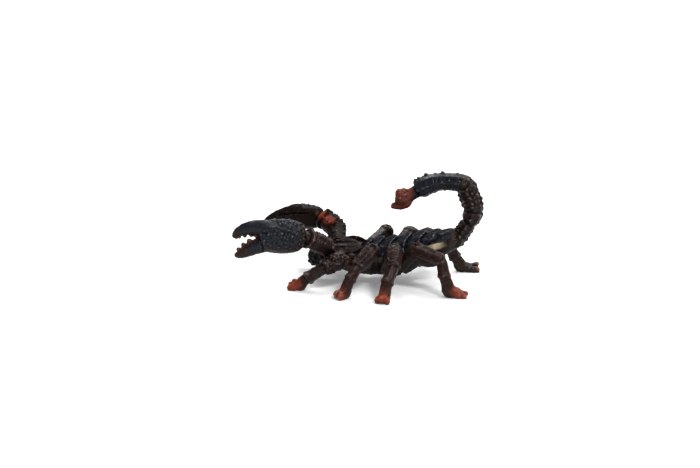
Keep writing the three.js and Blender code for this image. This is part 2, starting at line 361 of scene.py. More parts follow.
def scored(piece, lines, width, depth, across_y=0):
    """Presses grooves into a piece along lines that lie near its skin. With across_y, a line is pressed
    straight into the side of the piece that faces that way along Y, wherever that side lies."""
    sideways_reach, out_of_reach = 6, 9
    places = corners(piece)
    press = np.zeros(len(places))
    for line in lines:
        if across_y:
            facing = outwards(piece)[:, 1] * across_y > 0.1
            facing = facing * (np.abs(places[:, 1] - line[0][1]) < sideways_reach)
            flat_line = [np.array(point) * (1, 0, 1) for point in line]
            gap = near_line(places * (1, 0, 1), flat_line)[0] + out_of_reach * (1 - facing)
        else:
            gap = near_line(places, line)[0]
        press = np.maximum(press, np.exp(-((gap / width) ** 2)))
    moved = (places - outwards(piece) * (press * depth)[:, None]) * MM
    piece.data.vertices.foreach_set("co", moved.astype(np.float32).ravel())
    piece.data.update()


def mark(piece, name, values):
    """Writes one number for each vertex, for a material to read."""
    attribute = piece.data.attributes.new(name, "FLOAT", "POINT")
    attribute.data.foreach_set("value", np.asarray(values, np.float32))


def mark_relief(piece):
    """Marks how far each place stands out of its surroundings, near (fine) and wide (broad): above 0 on edges
    and granules, below 0 in creases. Pale paint goes on the one and dark wash into the other, partly as the
    toy's own paint and partly as painted highlight and painted shade. Also marks how far each place faces the
    sky, which the paint uses to lighten the tops and darken the undersides: painted light and painted shade."""
    a, b = numbers(piece, "edges", np.int32, 2).T
    start = corners(piece)
    count = len(start)
    neighbours = np.maximum(np.bincount(a, minlength=count) + np.bincount(b, minlength=count), 1)

    def averaged(values):
        return (np.bincount(a, values[b], count) + np.bincount(b, values[a], count)) / neighbours

    near, wide = 8, 60
    smooth = start.copy()
    for step in range(1, wide + 1):
        smooth = np.stack([averaged(smooth[:, k]) for k in range(3)], axis=1)
        if step in (near, wide):
            stand = averaged(averaged(np.einsum("ij,ij->i", start - smooth, outwards(piece))))
            mark(piece, "relief_fine" if step == near else "relief_broad", stand)
    mark(piece, "sky", averaged(averaged(outwards(piece)[:, 2].astype(float))))


def trunk_rows():
    """Every row of the trunk's skin: its section, how far into its plate it is, and how far it stands out."""
    rows = [(*row, 0, 0) for row in eased(HEAD_ROWS, 3)]
    for before, edge in zip([HEAD_ROWS[-1], *PLATE_EDGES], PLATE_EDGES):
        for share, stand in PLATE_RAMP:
            rows.append((*(np.array(before) * (1 - share) + np.array(edge) * share), share, stand))
    rows += [(*row, 1, -0.4) for row in eased([PLATE_EDGES[-1], *TAIL_END_ROWS], 3)[1:]]
    return rows


def trunk_skin():
    """The trunk as one lofted skin, with its ramped plates, their leaning edges and their side margins."""
    rows = trunk_rows()
    piece = bar(len(rows), 96)
    for vertex in piece.data.vertices:
        x, middle, wide, rise, drop, share, stand = rows[round(vertex.co.z)]
        side, top = vertex.co.x, vertex.co.y
        angle = math.degrees(math.atan2(abs(side), top))
        margin = np.interp(x, *PLATE_MARGIN)
        on_plate = 1 / (1 + math.exp((angle - margin) / 2.4)) if share else 0
        body = min(1, max(0, (x + 3) / 5)) * min(1, max(0, (44 - x) / 7))
        keel = 0.4 * math.exp(-((angle / 9) ** 2)) + 0.3 * math.exp(-(((angle - 43) / 9) ** 2))
        wrinkle = 0.16 * math.sin(math.radians(angle) * 17 + x * 0.4) * math.sin(math.radians(angle) * 7 + x)
        rolled_side = 0.5 * math.sin(math.pi * share) * math.exp(-(((angle - margin + 6) / 8) ** 2))
        stand = stand * (0.3 + 0.7 * on_plate) + (0.5 + keel * (stand + 0.5) + wrinkle) * on_plate
        stand = (stand + rolled_side) * body
        lean = np.interp(angle, *EDGE_LEAN) * body
        y = side * (wide + stand - 0.3)
        z = middle + top * ((rise if top > 0 else drop) + stand)
        vertex.co = Vector((x - lean, y, z)) * MM
    return piece


LOBE = [
    (-17.2, -3.8, 17, 0.8, 0.5),
    (-15.6, -4.6, 17.4, 2.3, 1.3),
    (-12.6, -5.8, 17.7, 3.7, 2),
    (-8.8, -6.7, 18, 4.4, 2.4),
    (-5, -6.9, 18.2, 4.3, 2.4),
    (-2, -6.4, 18.5, 3.3, 1.8),
    (0, -5.7, 18.8, 1.4, 0.8),
]


def head_lobe(rings, side):
    """A long almond-shaped lobe of the head shield: a hollowed face with a few long ridges and a rim."""
    rings = eased(rings, 3)
    up = (0, 0.55 * side, 0.84)
    frames = ring_frames(rings, up)
    solids = [lofted(rings, 28, up, dish=1.1, dish_width=0.75)]
    for share, height, size in ((-0.92, 0.3, 0.5), (0.92, 0.3, 0.6), (0.62, 0.6, 0.26)):
        line = []
        for ring, (centre, across, upward) in zip(rings, frames):
            line.append(centre + across * share * ring[3] + upward * height * ring[4])
        solids.append(ridge(line, size))
    line = []
    for ring, (centre, across, upward) in zip(rings[4:-4], frames[4:-4]):
        line.append(centre - across * 0.1 * ring[3] + upward * (ring[4] - 1.05))
    solids.append(ridge(line, 0.24, taper=0.2))
    return solids


trunk_solids = [trunk_skin()]
far_lobe = [(x, -y, z - 0.24 * max(0, -4 - x), wide, high) for x, y, z, wide, high in LOBE]
for side, rings in ((-1, LOBE), (1, far_lobe)):
    trunk_solids += head_lobe(rings, side)
    mirror = Vector((1, side, 1))
    for hip, inner, size in LEG_ROOTS:
        start, end = Vector(hip) * mirror, Vector(inner) * mirror
        root = [(*start.lerp(end, share), size * grow, size * grow * 0.9) for share, grow in ROOT_SWELL]
        trunk_solids.append(lofted(eased(root, 3), 20, facets=7))
    for x, y, z, size in SHOULDER_LUMPS:
        trunk_solids.append(lump((x, side * y, z), (size * 1.4, size, size)))
    comb = [(x, side * y, z) for x, y, z in COMB]
    trunk_solids.append(ridge([Vector(place) for place in comb], 0.8))
    trunk_solids += studs([(Vector((x + 1.1, y, z)), 0.5, None) for x, y, z in eased(comb, 3)])
trunk_solids.append(lump((4.6, 0, 4.4), (3.4, 1.9, 1.2)))
trunk_solids += studs([(Vector((-9.5, side * 0.8, 18.6)), 0.8, None) for side in (-1, 1)])
trunk = fused("trunk_moulding", trunk_solids, voxel=0.3)
belly_grooves = []
for x, z in BELLY_GROOVES:
    belly_grooves.append([(x + abs(y) * 0.12, y, z + 0.045 * y * y) for y in range(-8, 9, 2)])
scored(trunk, [*belly_grooves, HEAD_GROOVE, CHEST_GROOVE], width=0.5, depth=0.45)
mark_relief(trunk)
x, y, z = corners(trunk).T
flank = np.interp(x, *FLANK_LINE)
# Umber, a darker brown, covers the head shield and the lowest part of the trunk; on the belly it is painted
# shade.
mark(trunk, "umber", np.clip(np.maximum((1 - x) / 4, (11 - z) / 4), 0, 1))
plated = np.clip(x / 3, 0, 1) * np.clip((47 - x) / 9, 0, 1)
mark(trunk, "slate", plated * np.clip((z - flank - 0.4) / 1.4, 0, 1))
band = np.clip(1.6 - np.abs(z - flank) / (1.1 + 0.034 * np.clip(x, 0, 30)), 0, 1)
band *= np.clip((45 - x) / 9, 0, 1) * np.clip((x + 10) / 3, 0, 1)
# Patchy olive over the top of the trunk's last plate, growing towards its end.
olive_end_top = 0.55 * np.clip((x - 38) / 5, 0, 1) * (z > 13)
mark(trunk, "olive", np.maximum(band * np.clip((np.abs(y) - 4) / 3, 0, 1), olive_end_top))
mark(trunk, "cream", band * np.clip((x - 27) / 6, 0, 1) * 1.2)


def number(tree, operation, a, b, c=0):
    """A sum or product of plain numbers and of other nodes' numbers."""
    node = tree.nodes.new("ShaderNodeMath")
    node.operation = operation
    for socket, value in zip(node.inputs, (a, b, c)):
        if isinstance(value, (int, float)):
            socket.default_value = value
        else:
            tree.links.new(value, socket)
    return node.outputs[0]


def stepped(tree, value, low, high):
    """A soft step from 0 to 1, as a value goes from low to high."""
    node = tree.nodes.new("ShaderNodeMapRange")
    node.interpolation_type = "SMOOTHSTEP"
    node.inputs["From Min"].default_value = low
    node.inputs["From Max"].default_value = high
    tree.links.new(value, node.inputs["Value"])
    return node.outputs[0]


def reading(tree, name):
    """The number that was marked on the piece under a name."""
    node = tree.nodes.new("ShaderNodeAttribute")
    node.attribute_name = name
    return node.outputs["Fac"]


def clouds(tree, scale, detail):
    """Noise that fills the piece. The scale is a plain number or another node's."""
    node = tree.nodes.new("ShaderNodeTexNoise")
    node.inputs["Detail"].default_value = detail
    if isinstance(scale, (int, float)):
        node.inputs["Scale"].default_value = scale
    else:
        tree.links.new(scale, node.inputs["Scale"])
    place = tree.nodes.new("ShaderNodeTexCoord")
    tree.links.new(place.outputs["Object"], node.inputs["Vector"])
    return node.outputs["Fac"]


def mixed(tree, share, first, second):
    """The first colour, with a share of the second laid over it."""
    node = tree.nodes.new("ShaderNodeMix")
    node.data_type = "RGBA"
    for socket, source in zip((0, 6, 7), (share, first, second)):
        tree.links.new(source, node.inputs[socket])
    return node.outputs[2]


def paint_group():
    """Dark wash in the creases and hollows and pale paint brushed over the raised edges, as a node group:
    partly the toy's own wash and dry-brushing, partly painted shade and painted highlight. The undersides
    also get the dark wash and the tops more of the pale paint, which is painted shade and painted light.
    """
    group = bpy.data.node_groups.new("shade_wash_and_highlight_brush", "ShaderNodeTree")
    for name, kind, start in (
        ("Coat", "NodeSocketColor", (0.05, 0.03, 0.03, 1)),
        ("Wash", "NodeSocketColor", (0.01, 0.008, 0.008, 1)),
        ("Brush", "NodeSocketColor", (0.3, 0.25, 0.24, 1)),
        ("Brush Amount", "NodeSocketFloat", 0.6),
        ("Stroke Size", "NodeSocketFloat", 900.0),
    ):
        socket = group.interface.new_socket(name, in_out="INPUT", socket_type=kind)
        socket.default_value = start
    group.interface.new_socket("Color", in_out="OUTPUT", socket_type="NodeSocketColor")
    group.interface.new_socket("Sheen Mask", in_out="OUTPUT", socket_type="NodeSocketFloat")
    given = group.nodes.new("NodeGroupInput")
    result = group.nodes.new("NodeGroupOutput")
    coat, wash, brush = [given.outputs[name] for name in ("Coat", "Wash", "Brush")]
    fine = reading(group, "relief_fine")
    broad = reading(group, "relief_broad")
    upper = stepped(group, reading(group, "sky"), -0.7, 0.6)
    strokes = stepped(group, clouds(group, given.outputs["Stroke Size"], 4), 0.38, 0.66)
    # The pale paint on raised edges and swells is partly the toy's own dry-brushing, partly painted
    # highlight.
    swells = number(group, "MULTIPLY", stepped(group, broad, 0.2, 0.8), 0.2)
    raised = number(group, "ADD", stepped(group, fine, 0.045, 0.18), swells)
    # Painted light: faces that point up get more of the pale paint.
    lit_from_above = number(group, "MULTIPLY_ADD", upper, 0.7, 0.3)
    reached = number(group, "MULTIPLY", number(group, "MULTIPLY", raised, strokes), lit_from_above)
    brushed = number(group, "MULTIPLY", reached, given.outputs["Brush Amount"])
    # The dark wash in creases and wide hollows is partly the toy's own wash, partly painted shade.
    in_creases = stepped(group, number(group, "MULTIPLY", fine, -1), 0.0, 0.06)
    in_hollows = stepped(group, number(group, "MULTIPLY", broad, -1), 0.05, 0.5)
    # Painted shade: faces that point down get the dark wash.
    shaded = number(group, "MULTIPLY", number(group, "SUBTRACT", 1, upper), 0.75)
    sunk = number(group, "MAXIMUM", number(group, "MAXIMUM", in_creases, in_hollows), shaded)
    blotches = stepped(group, clouds(group, 170, 3), 0.3, 0.7)
    dulled = mixed(group, number(group, "MULTIPLY", blotches, 0.55), coat, wash)
    dark = mixed(group, number(group, "MULTIPLY", sunk, 0.9), dulled, wash)
    group.links.new(mixed(group, brushed, dark, brush), result.inputs["Color"])
    open_skin = number(group, "SUBTRACT", 1, sunk)
    rubbed = number(group, "MULTIPLY", open_skin, number(group, "MULTIPLY", blotches, 0.3))
    group.links.new(rubbed, result.inputs["Sheen Mask"])
    return group


def grain_group():
    """The slight orange-peel of moulded vinyl, as heights for a Bump node, and its patchy gloss."""
    group = bpy.data.node_groups.new("vinyl_grain", "ShaderNodeTree")
    socket = group.interface.new_socket("Pitch", in_out="INPUT", socket_type="NodeSocketFloat")
    socket.default_value = 1500
    group.interface.new_socket("Height", in_out="OUTPUT", socket_type="NodeSocketFloat")
    group.interface.new_socket("Gloss", in_out="OUTPUT", socket_type="NodeSocketFloat")
    given = group.nodes.new("NodeGroupInput")
    result = group.nodes.new("NodeGroupOutput")
    group.links.new(clouds(group, given.outputs["Pitch"], 3), result.inputs["Height"])
    gloss = group.nodes.new("ShaderNodeMapRange")
    for name, value in (("From Min", 0.3), ("From Max", 0.7), ("To Min", 0.26), ("To Max", 0.46)):
        gloss.inputs[name].default_value = value
    group.links.new(clouds(group, 260, 3), gloss.inputs["Value"])
    group.links.new(gloss.outputs[0], result.inputs["Gloss"])
    return group


SHADE_WASH_AND_HIGHLIGHT_BRUSH = paint_group()
VINYL_GRAIN = grain_group()
# Each paint's own colour, its darker wash, laid in the creases and as painted shade, and its pale dry-brushed
# colour, laid on the raised edges and as painted highlight.
BROWN = ((0.027, 0.0112, 0.0092), (0.0026, 0.0014, 0.0012), (0.17, 0.115, 0.1))
UMBER = ((0.0135, 0.0072, 0.0062), (0.0019, 0.0012, 0.0011), (0.12, 0.092, 0.082))
SLATE = ((0.0115, 0.014, 0.0215), (0.002, 0.0024, 0.0035), (0.2, 0.22, 0.25))
NAVY = ((0.0058, 0.0079, 0.0135), (0.0012, 0.0015, 0.0022), (0.17, 0.19, 0.22))
BARK = ((0.021, 0.0108, 0.009), (0.0024, 0.0014, 0.0012), (0.2, 0.145, 0.125))
OLIVE = ((0.072, 0.062, 0.05), (0.014, 0.012, 0.01), (0.23, 0.2, 0.17))
CREAM = ((0.62, 0.5, 0.32), (0.13, 0.11, 0.075), (0.72, 0.63, 0.46))
FLAME = ((0.25, 0.045, 0.02), (0.04, 0.01, 0.008), (0.5, 0.13, 0.06))
RUST = ((0.17, 0.038, 0.024), (0.026, 0.008, 0.006), (0.34, 0.1, 0.06))
BLACK = ((0.006, 0.005, 0.005), (0.0015, 0.0012, 0.0012), (0.06, 0.055, 0.055))


def painted(name, coats, brush=0.6, sheen=1):
    """Satin vinyl in several paints. Each coat is (colours, mask, edge, softness): where the mask's number,
    broken up by noise, passes the edge, that paint covers those before it. The first coat covers all.
    Brush is how strongly the raised edges are brushed and the tops given painted highlight, and sheen how
    much of the satin gloss is left."""
    material = bpy.data.materials.new(name)
    material.use_nodes = True
    tree = material.node_tree
    shader = tree.nodes["Principled BSDF"]
    shader.inputs["Specular IOR Level"].default_value = 0.1 * sheen
    shader.inputs["Coat Roughness"].default_value = 0.28
    below = None
    for colours, mask, edge, softness in coats:
        paint = tree.nodes.new("ShaderNodeGroup")
        paint.node_tree = SHADE_WASH_AND_HIGHLIGHT_BRUSH
        for socket, colour in zip(("Coat", "Wash", "Brush"), colours):
            paint.inputs[socket].default_value = (*colour, 1)
        paint.inputs["Brush Amount"].default_value = brush
        if below is None:
            below = paint.outputs["Color"]
            rubbed = number(tree, "MULTIPLY", paint.outputs["Sheen Mask"], sheen)
            tree.links.new(rubbed, shader.inputs["Coat Weight"])
            continue
        ragged = number(tree, "MULTIPLY_ADD", clouds(tree, 420, 4), softness * 2, reading(tree, mask))
        cover = stepped(tree, ragged, edge, edge + 2 * softness)
        below = mixed(tree, cover, below, paint.outputs["Color"])
    tree.links.new(below, shader.inputs["Base Color"])
    grain = tree.nodes.new("ShaderNodeGroup")
    grain.node_tree = VINYL_GRAIN
    tree.links.new(grain.outputs["Gloss"], shader.inputs["Roughness"])
    bump = tree.nodes.new("ShaderNodeBump")
    bump.inputs["Strength"].default_value = 0.4
    bump.inputs["Distance"].default_value = 0.08 * MM
    tree.links.new(grain.outputs["Height"], bump.inputs["Height"])
    tree.links.new(bump.outputs["Normal"], shader.inputs["Normal"])
    return material


def handed_over(piece, material, node):
    """Gives a finished moulding its paint and puts it in the place of its plain solid."""
    piece.data.materials.clear()
    piece.data.materials.append(material)
    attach(piece, "root")
    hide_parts(node)


trunk_paint = painted("trunk_paint", [
    (BARK, None, 0, 0),
    (UMBER, "umber", 0.5, 0.3),
    (OLIVE, "olive", 0.6, 0.3),
    (CREAM, "cream", 0.95, 0.4),
    (NAVY, "slate", 0.55, 0.2),
], brush=1.0, sheen=0.4)
handed_over(trunk, trunk_paint, "trunk")

# Jaws
# Two short blunt jaws of black vinyl, glued in side by side under the front of the head shield, each with
# sculpted ridges round it, knobs all over and two stubby fangs.
JAW_ROWS = [
    (-14.6, -2.9, 12.2, 2.2, 3),
    (-17, -3.2, 12.1, 2.8, 3.8),
    (-20, -3.4, 12, 3.1, 4.2),
    (-22.8, -3.3, 11.9, 2.9, 4.1),
    (-24.6, -3.2, 11.8, 2.2, 3.2),
    (-25.6, -3.1, 11.8, 1.1, 1.8),
]


def jaw(name, side):
    """A knobbly stub with ridges round it, and two blunt fangs at its front."""
    up = (0, 0, 1)
    rings = eased([(x, -side * y, z, wide, high) for x, y, z, wide, high in JAW_ROWS], 3)
    solids = [lofted(rings, 20)]
    draw = random.Random(31)
    for at in (3.6, 6, 8.6, 11.2):
        loop = []
        for turn in range(-20, 341, 18):
            loop.append(skin_point(rings, up, at + 0.7 * math.cos(math.radians(turn)), turn, 0.15))
        solids.append(ridge(loop, 0.36, taper=1))
    knobs = []
    for at in np.arange(3, 14, 1.3):
        for turn in range(0, 360, 33):
            spot = scattered(draw, rings, up, at, turn, (0.5, 12), 0.2)
            knobs.append((spot, draw.uniform(0.5, 1.0), None))
    solids += studs(knobs)
    for z, drop, out in ((14, 0, 2.4), (9.8, -0.6, 2)):
        fang = [
            (-23.2, side * out, z, 1.4, 1.4),
            (-24.8, side * out, z - 0.1, 1.1, 1.1),
            (-25.6, side * out * 0.9, z + drop, 0.5, 0.5),
        ]
        solids.append(lofted(eased(fang, 3), 12))
    piece = fused(name, solids)
    mark_relief(piece)
    return piece


jaw_paint = painted("jaw_paint", [(BLACK, None, 0, 0)], brush=0.5)
handed_over(jaw("left_jaw_moulding", -1), jaw_paint, "left_jaw")
handed_over(jaw("right_jaw_moulding", 1), jaw_paint, "right_jaw")

# Legs
# Stubby legs, each one moulding of dark brown vinyl glued into the trunk: facetted segments with thin collars
# where they meet, knobs, a rimmed hollow or keels on the knee, and a mitten-like foot with a flat sole.

# Each leg's joints from hip to toe are (x, distance from the middle, height).
LEFT_LEGS = [
    [(-6.5, 10.5, 11), (-8.6, 15.8, 13.6), (-15.6, 20, 11.2), (-23.6, 21.8, 6), (-27, 21, 3.4),
     (-30, 19.8, 2)],
    [(3, 11, 11), (6.6, 21.5, 19.8), (1.2, 27, 14.4), (-2.2, 31, 8.8), (-4.6, 32.2, 3.8), (-7, 33.6, 2)],
    [(13, 12, 11), (17.6, 23.2, 20.8), (17.8, 30.2, 15.2), (15.4, 35.4, 8.8), (14.4, 37, 3.8), (13.8, 39, 2)],
    [(22.5, 11.5, 12.4), (28.4, 17, 19.8), (39.4, 22, 17), (41, 24, 9.6), (43.4, 24.6, 3.8),
     (49.8, 23.8, 2.2)],
]
RIGHT_LEGS = [
    [(-5, 10.5, 10), (-9.2, 18.6, 12), (-13.4, 25, 10.6), (-16.4, 29, 6.4), (-18, 31, 3.4), (-19.4, 33.6, 2)],
    [(1.4, 10.6, 14.2), (9.2, 22, 18.8), (6, 27.4, 13.4), (2.2, 32.2, 7.8), (0, 34.6, 3.6), (-2, 36.6, 2)],
    [(13, 12, 11), (20, 24, 17.8), (24.2, 29.6, 14.8), (23, 35.4, 8), (22.2, 37.4, 3.6), (21.8, 39.6, 2)],
    [(22.5, 11.5, 12.4), (30.2, 17, 18.8), (39.4, 20.8, 14.4), (43.4, 21.4, 7), (46, 21.6, 3.6),
     (53.4, 22.8, 2.2)],
]
# Half widths of the segments, how much the foot thins towards the toes, the depth of the knee's hollow, the
# size of the knobs on the knee, and the knee's keels.
LEG_STYLES = [
    {"thigh": 4, "knee": 4.1, "shin": 3.3, "foot": 2.9, "taper": 0.06, "dish": 0.2, "bumps": 0.85,
     "keels": ((-50, 0.08, 16), (40, 0.08, 16))},
    {"thigh": 3.6, "knee": 4, "shin": 2.9, "foot": 2.9, "taper": 0.03, "dish": 1.1, "bumps": 0,
     "keels": ()},
    {"thigh": 3.6, "knee": 3.9, "shin": 3.2, "foot": 3, "taper": 0.03, "dish": 0.45, "bumps": 0,
     "keels": ()},
    {"thigh": 4.3, "knee": 3.6, "shin": 3.2, "foot": 3, "taper": 0.12, "dish": 0, "bumps": 0,
     "keels": ((-42, 0.13, 13), (4, 0.1, 13), (48, 0.1, 13))},
]
# How far the foot paint stays off, how far the toes reach and the sole runs on past the foot's joints, and
# each toe as (sideways, raised). A few feet differ.
FOOT = {"bare": -0.4, "reach": 1.5, "pad": 1.08, "toes": ((-1, 0), (0, 0.8), (1, 0))}
ODD_FEET = {
    "left_leg_1": {"bare": -3.2, "reach": 2.1, "pad": 0.95, "toes": ((-0.9, 1.6), (0.1, 0.7), (1.1, -0.2))},
    "left_leg_4": {"bare": -1},
    "right_leg_4": {"bare": 6, "taper": 0.08, "pad": 0.7, "toes": ((-1, 0), (0.9, 1.7))},
}
# Along a segment: shares of the way from joint to joint, and shares of the half width.
THIGH = [(0, 0.8), (0.3, 0.9), (0.6, 0.96), (0.85, 1), (0.97, 1.02), (1.06, 0.86), (1.1, 0.6)]
KNEE = [
    (-0.46, 0.2), (-0.43, 0.4), (-0.34, 0.66), (-0.2, 0.88), (0, 1), (0.27, 1.04), (0.55, 0.98), (0.8, 0.9),
    (0.92, 0.93), (1.02, 0.92), (1.06, 0.84), (1.07, 0.56),
]
SHIN = [
    (-0.14, 0.6), (-0.02, 0.82), (0.16, 0.92), (0.45, 0.96), (0.72, 0.95), (0.84, 1.02), (0.94, 1.12),
    (1.02, 1.1), (1.04, 0.7),
]


def along_limb(start, end, size, profile):
    """Round rings along a straight segment, from its profile."""
    return [(*start.lerp(end, share), size * grow, size * grow) for share, grow in profile]


def segment(start, end, size, profile, up, **section):
    """One sculpted segment of a limb from joint to joint, in millimetres."""
    return lofted(along_limb(start, end, size, profile), 28, up, **section)


def knee_details(rings, up, style):
    """Knobs all over a knobbly knee, or the rim round a hollow one."""
    draw = random.Random(7)
    bumps = []
    if style["bumps"]:
        for at in np.arange(2.2, 9.6, 0.75):
            for turn in range(-100, 101, 25):
                spot = scattered(draw, rings, up, at, turn, (0.3, 9), 0.15)
                bumps.append((spot, style["bumps"] * draw.uniform(0.6, 1.1), None))
    solids = studs(bumps)
    if style["dish"] > 0.4:
        rim = []
        for turn in range(0, 361, 15):
            at = 5 + 2.6 * math.cos(math.radians(turn))
            rim.append(skin_point(rings, up, at, 46 * math.sin(math.radians(turn)), 0.1))
        solids.append(ridge(rim, 0.26, taper=1))
    return solids


def foot_solids(shin, ankle, foot, toe, ahead, style):
    """The mitten of a foot from the ankle down, and its toes."""
    size, taper = style["foot"], style["taper"]
    tall = 1 - 3 * taper
    beside = Vector((-ahead.y, ahead.x, 0))
    sole = []
    for place, grow in ((ankle.lerp(shin, 0.2), 0.88), (ankle, 0.94), (ankle.lerp(foot, 0.5), 0.98)):
        sole.append((*place, size * grow, size * grow))
    for share, wide, high in (
        (0, 1, 1.04 + 1.6 * taper),
        (0.5, 1.04, 1 - 0.6 * taper),
        (0.85, 1.02, 0.92 - 2.2 * taper),
        (1, 0.9, 0.74 - 2.4 * taper),
    ):
        place = foot.lerp(toe, share * style["pad"])
        sole.append((place.x, place.y, size * high - 0.7, size * wide, size * high))
    solids = [lofted(eased(sole, 3), 24, ahead * 0.6 + Vector((0, 0, 0.8)), facets=7)]
    for splay, lift in style["toes"]:
        root = foot.lerp(toe, 0.4) + beside * splay * 1.5
        middle = toe + beside * splay * 2.1
        tip = toe + beside * splay * 2.4 + ahead * (style["reach"] - 0.7 * abs(splay))
        end = tip + ahead * 0.8
        toe_rings = [
            (root.x, root.y, 1.7 * tall, 1.5, 2.7 * tall),
            (middle.x, middle.y, 1.7 * tall + lift * 0.7, 1.5, 2.4 * tall),
            (tip.x, tip.y, 1.5 * tall + lift, 1.4, 2.1 * tall),
            (end.x, end.y, 1.3 * tall + lift, 0.9, 1.3 * tall),
        ]
        solids.append(lofted(eased(toe_rings, 3), 16))
    return solids


def thigh_blade(hip, knee, shin, side):
    """The tall flat thigh of a hind leg, with long keels on its outer face."""
    rings = []
    for share, grow in ((-0.4, 0.7), (0.1, 0.9), (0.6, 1), (0.95, 0.9)):
        rings.append((*hip.lerp(knee, share), 2.6 * grow, 5.4 * grow))
    for share, grow, drop in ((0.25, 1, 2), (0.6, 0.8, 1.6), (0.85, 0.5, 1)):
        under = knee.lerp(shin, share) - Vector((0, 0, drop))
        rings.append((*under, 2.6 * grow, 4.6 * grow))
    keels = [(-side * turn, height, 9) for turn, height in ((62, 0.1), (95, 0.1), (125, 0.12))]
    return lofted(eased(rings, 3), 24, keels=keels)


def leg(name, side, joints, style):
    """A leg from hip to toes, cut off flat at the table. The legs with no hollow in the knee are the hind
    ones, whose knee starts less far back and whose thigh is a blade."""
    hip, knee, shin, ankle, foot, toe = [Vector((x, side * out, z)) for x, out, z in joints]
    outward = Vector((-0.12, side * 0.85, 0.5))
    hind = style["dish"] == 0
    knee_profile = [(share * 0.5 if hind and share < 0 else share, grow) for share, grow in KNEE]
    solids = [
        segment(hip.lerp(knee, -0.3), knee, style["thigh"], THIGH, outward, facets=7),
        segment(
            knee, shin, style["knee"], knee_profile, outward,
            facets=8, crisp=0.45, dish=style["dish"], keels=style["keels"],
        ),
        segment(shin, ankle, style["shin"], SHIN, outward, facets=6, crisp=0.8),
    ]
    solids += knee_details(along_limb(knee, shin, style["knee"], KNEE), outward, style)
    ahead = Vector((toe.x - foot.x, toe.y - foot.y, 0)).normalized()
    solids += foot_solids(shin, ankle, foot, toe, ahead, style)
    if hind:
        solids.append(thigh_blade(hip, knee, shin, side))
    piece = fused(name, solids, voxel=0.28)
    bpy.ops.object.mode_set(mode="EDIT")
    bpy.ops.mesh.select_all(action="SELECT")
    bpy.ops.mesh.bisect(
        plane_co=(0, 0, 0.02 * MM), plane_no=(0, 0, 1), use_fill=True, clear_inner=True, threshold=1e-7
    )
    bpy.ops.object.mode_set(mode="OBJECT")
    mark_relief(piece)
    spots = corners(piece)
    past = (spots - np.array(foot.lerp(toe, 0.2))) @ np.array(ahead) - style["bare"]
    past -= 0.55 * np.clip(spots[:, 2] - 3.6, 0, 20)
    mark(piece, "foot", np.clip(0.5 + past / 8, 0, 1) * (spots[:, 2] < 9))
    return piece


leg_paint = painted("leg_paint", [
    (BROWN, None, 0, 0),
    (FLAME, "foot", 0.6, 0.28),
])
for hand, side, legs in (("left", -1, LEFT_LEGS), ("right", 1, RIGHT_LEGS)):
    for number_from_front, (joints, style) in enumerate(zip(legs, LEG_STYLES), 1):
        node = f"{hand}_leg_{number_from_front}"
        piece = leg(node + "_moulding", side, joints, {**style, **FOOT, **ODD_FEET.get(node, {})})
        handed_over(piece, leg_paint, node)

# Pincer arms
# Each arm is one vinyl moulding glued in beside the head: a short upper arm, a knobbly forearm with a collar
# at the wrist, and an oval hand with granules on its outer face and rounded teeth along both fingers.

# Root, elbow, wrist and knuckle are the joints, the half widths follow, and the fingers are rows of
# (x, y, height, half width, half height). Teeth are (first, last, count, size) for each finger.
LEFT_ARM = {
    "root": (-12.5, -8, 14.4),
    "upper_arm": 3.9,
    "elbow": (-16.8, -16.2, 20.8),
    "wrist": (-24.2, -24, 26.6),
    "knuckle": (-43, -31.2, 28.6),
    "fore": 4.5,
    "tall": 8,
    "thick": 5.4,
    "upper": [
        (-34, -28.6, 30.4, 2.4, 3), (-38, -30.4, 31.4, 3.6, 4), (-41.4, -31, 32, 3.7, 4.1),
        (-44.8, -31.4, 32.4, 3.3, 3.7), (-47.8, -31.6, 32.3, 2.9, 3.3), (-50.8, -31.5, 31.5, 2.5, 3),
        (-54, -31, 30, 1.9, 2.4),
        (-56, -30.6, 28.3, 1.3, 1.6), (-56.7, -30.4, 27.1, 0.7, 0.9),
    ],
    "lower": [
        (-37, -29.6, 26, 2.6, 3), (-40.6, -30.6, 25, 3.4, 3.9), (-44, -31, 23.9, 3.4, 3.9),
        (-47.6, -31.3, 22.5, 3, 3.5), (-50.9, -31.5, 20.8, 2.5, 3), (-54.2, -31.3, 19.1, 1.8, 2),
        (-56.2, -31, 18.8, 0.8, 1),
    ],
    "seams": [
        [(-44, -35, 28.4), (-43.4, -35, 26.2), (-42.4, -35, 23.7), (-42.2, -35, 21.6), (-42.8, -35, 20)],
    ],
    "creases": [],
    "teeth": ((0.42, 0.94, 5, 1.25), (0.5, 0.78, 3, 1.35)),
}
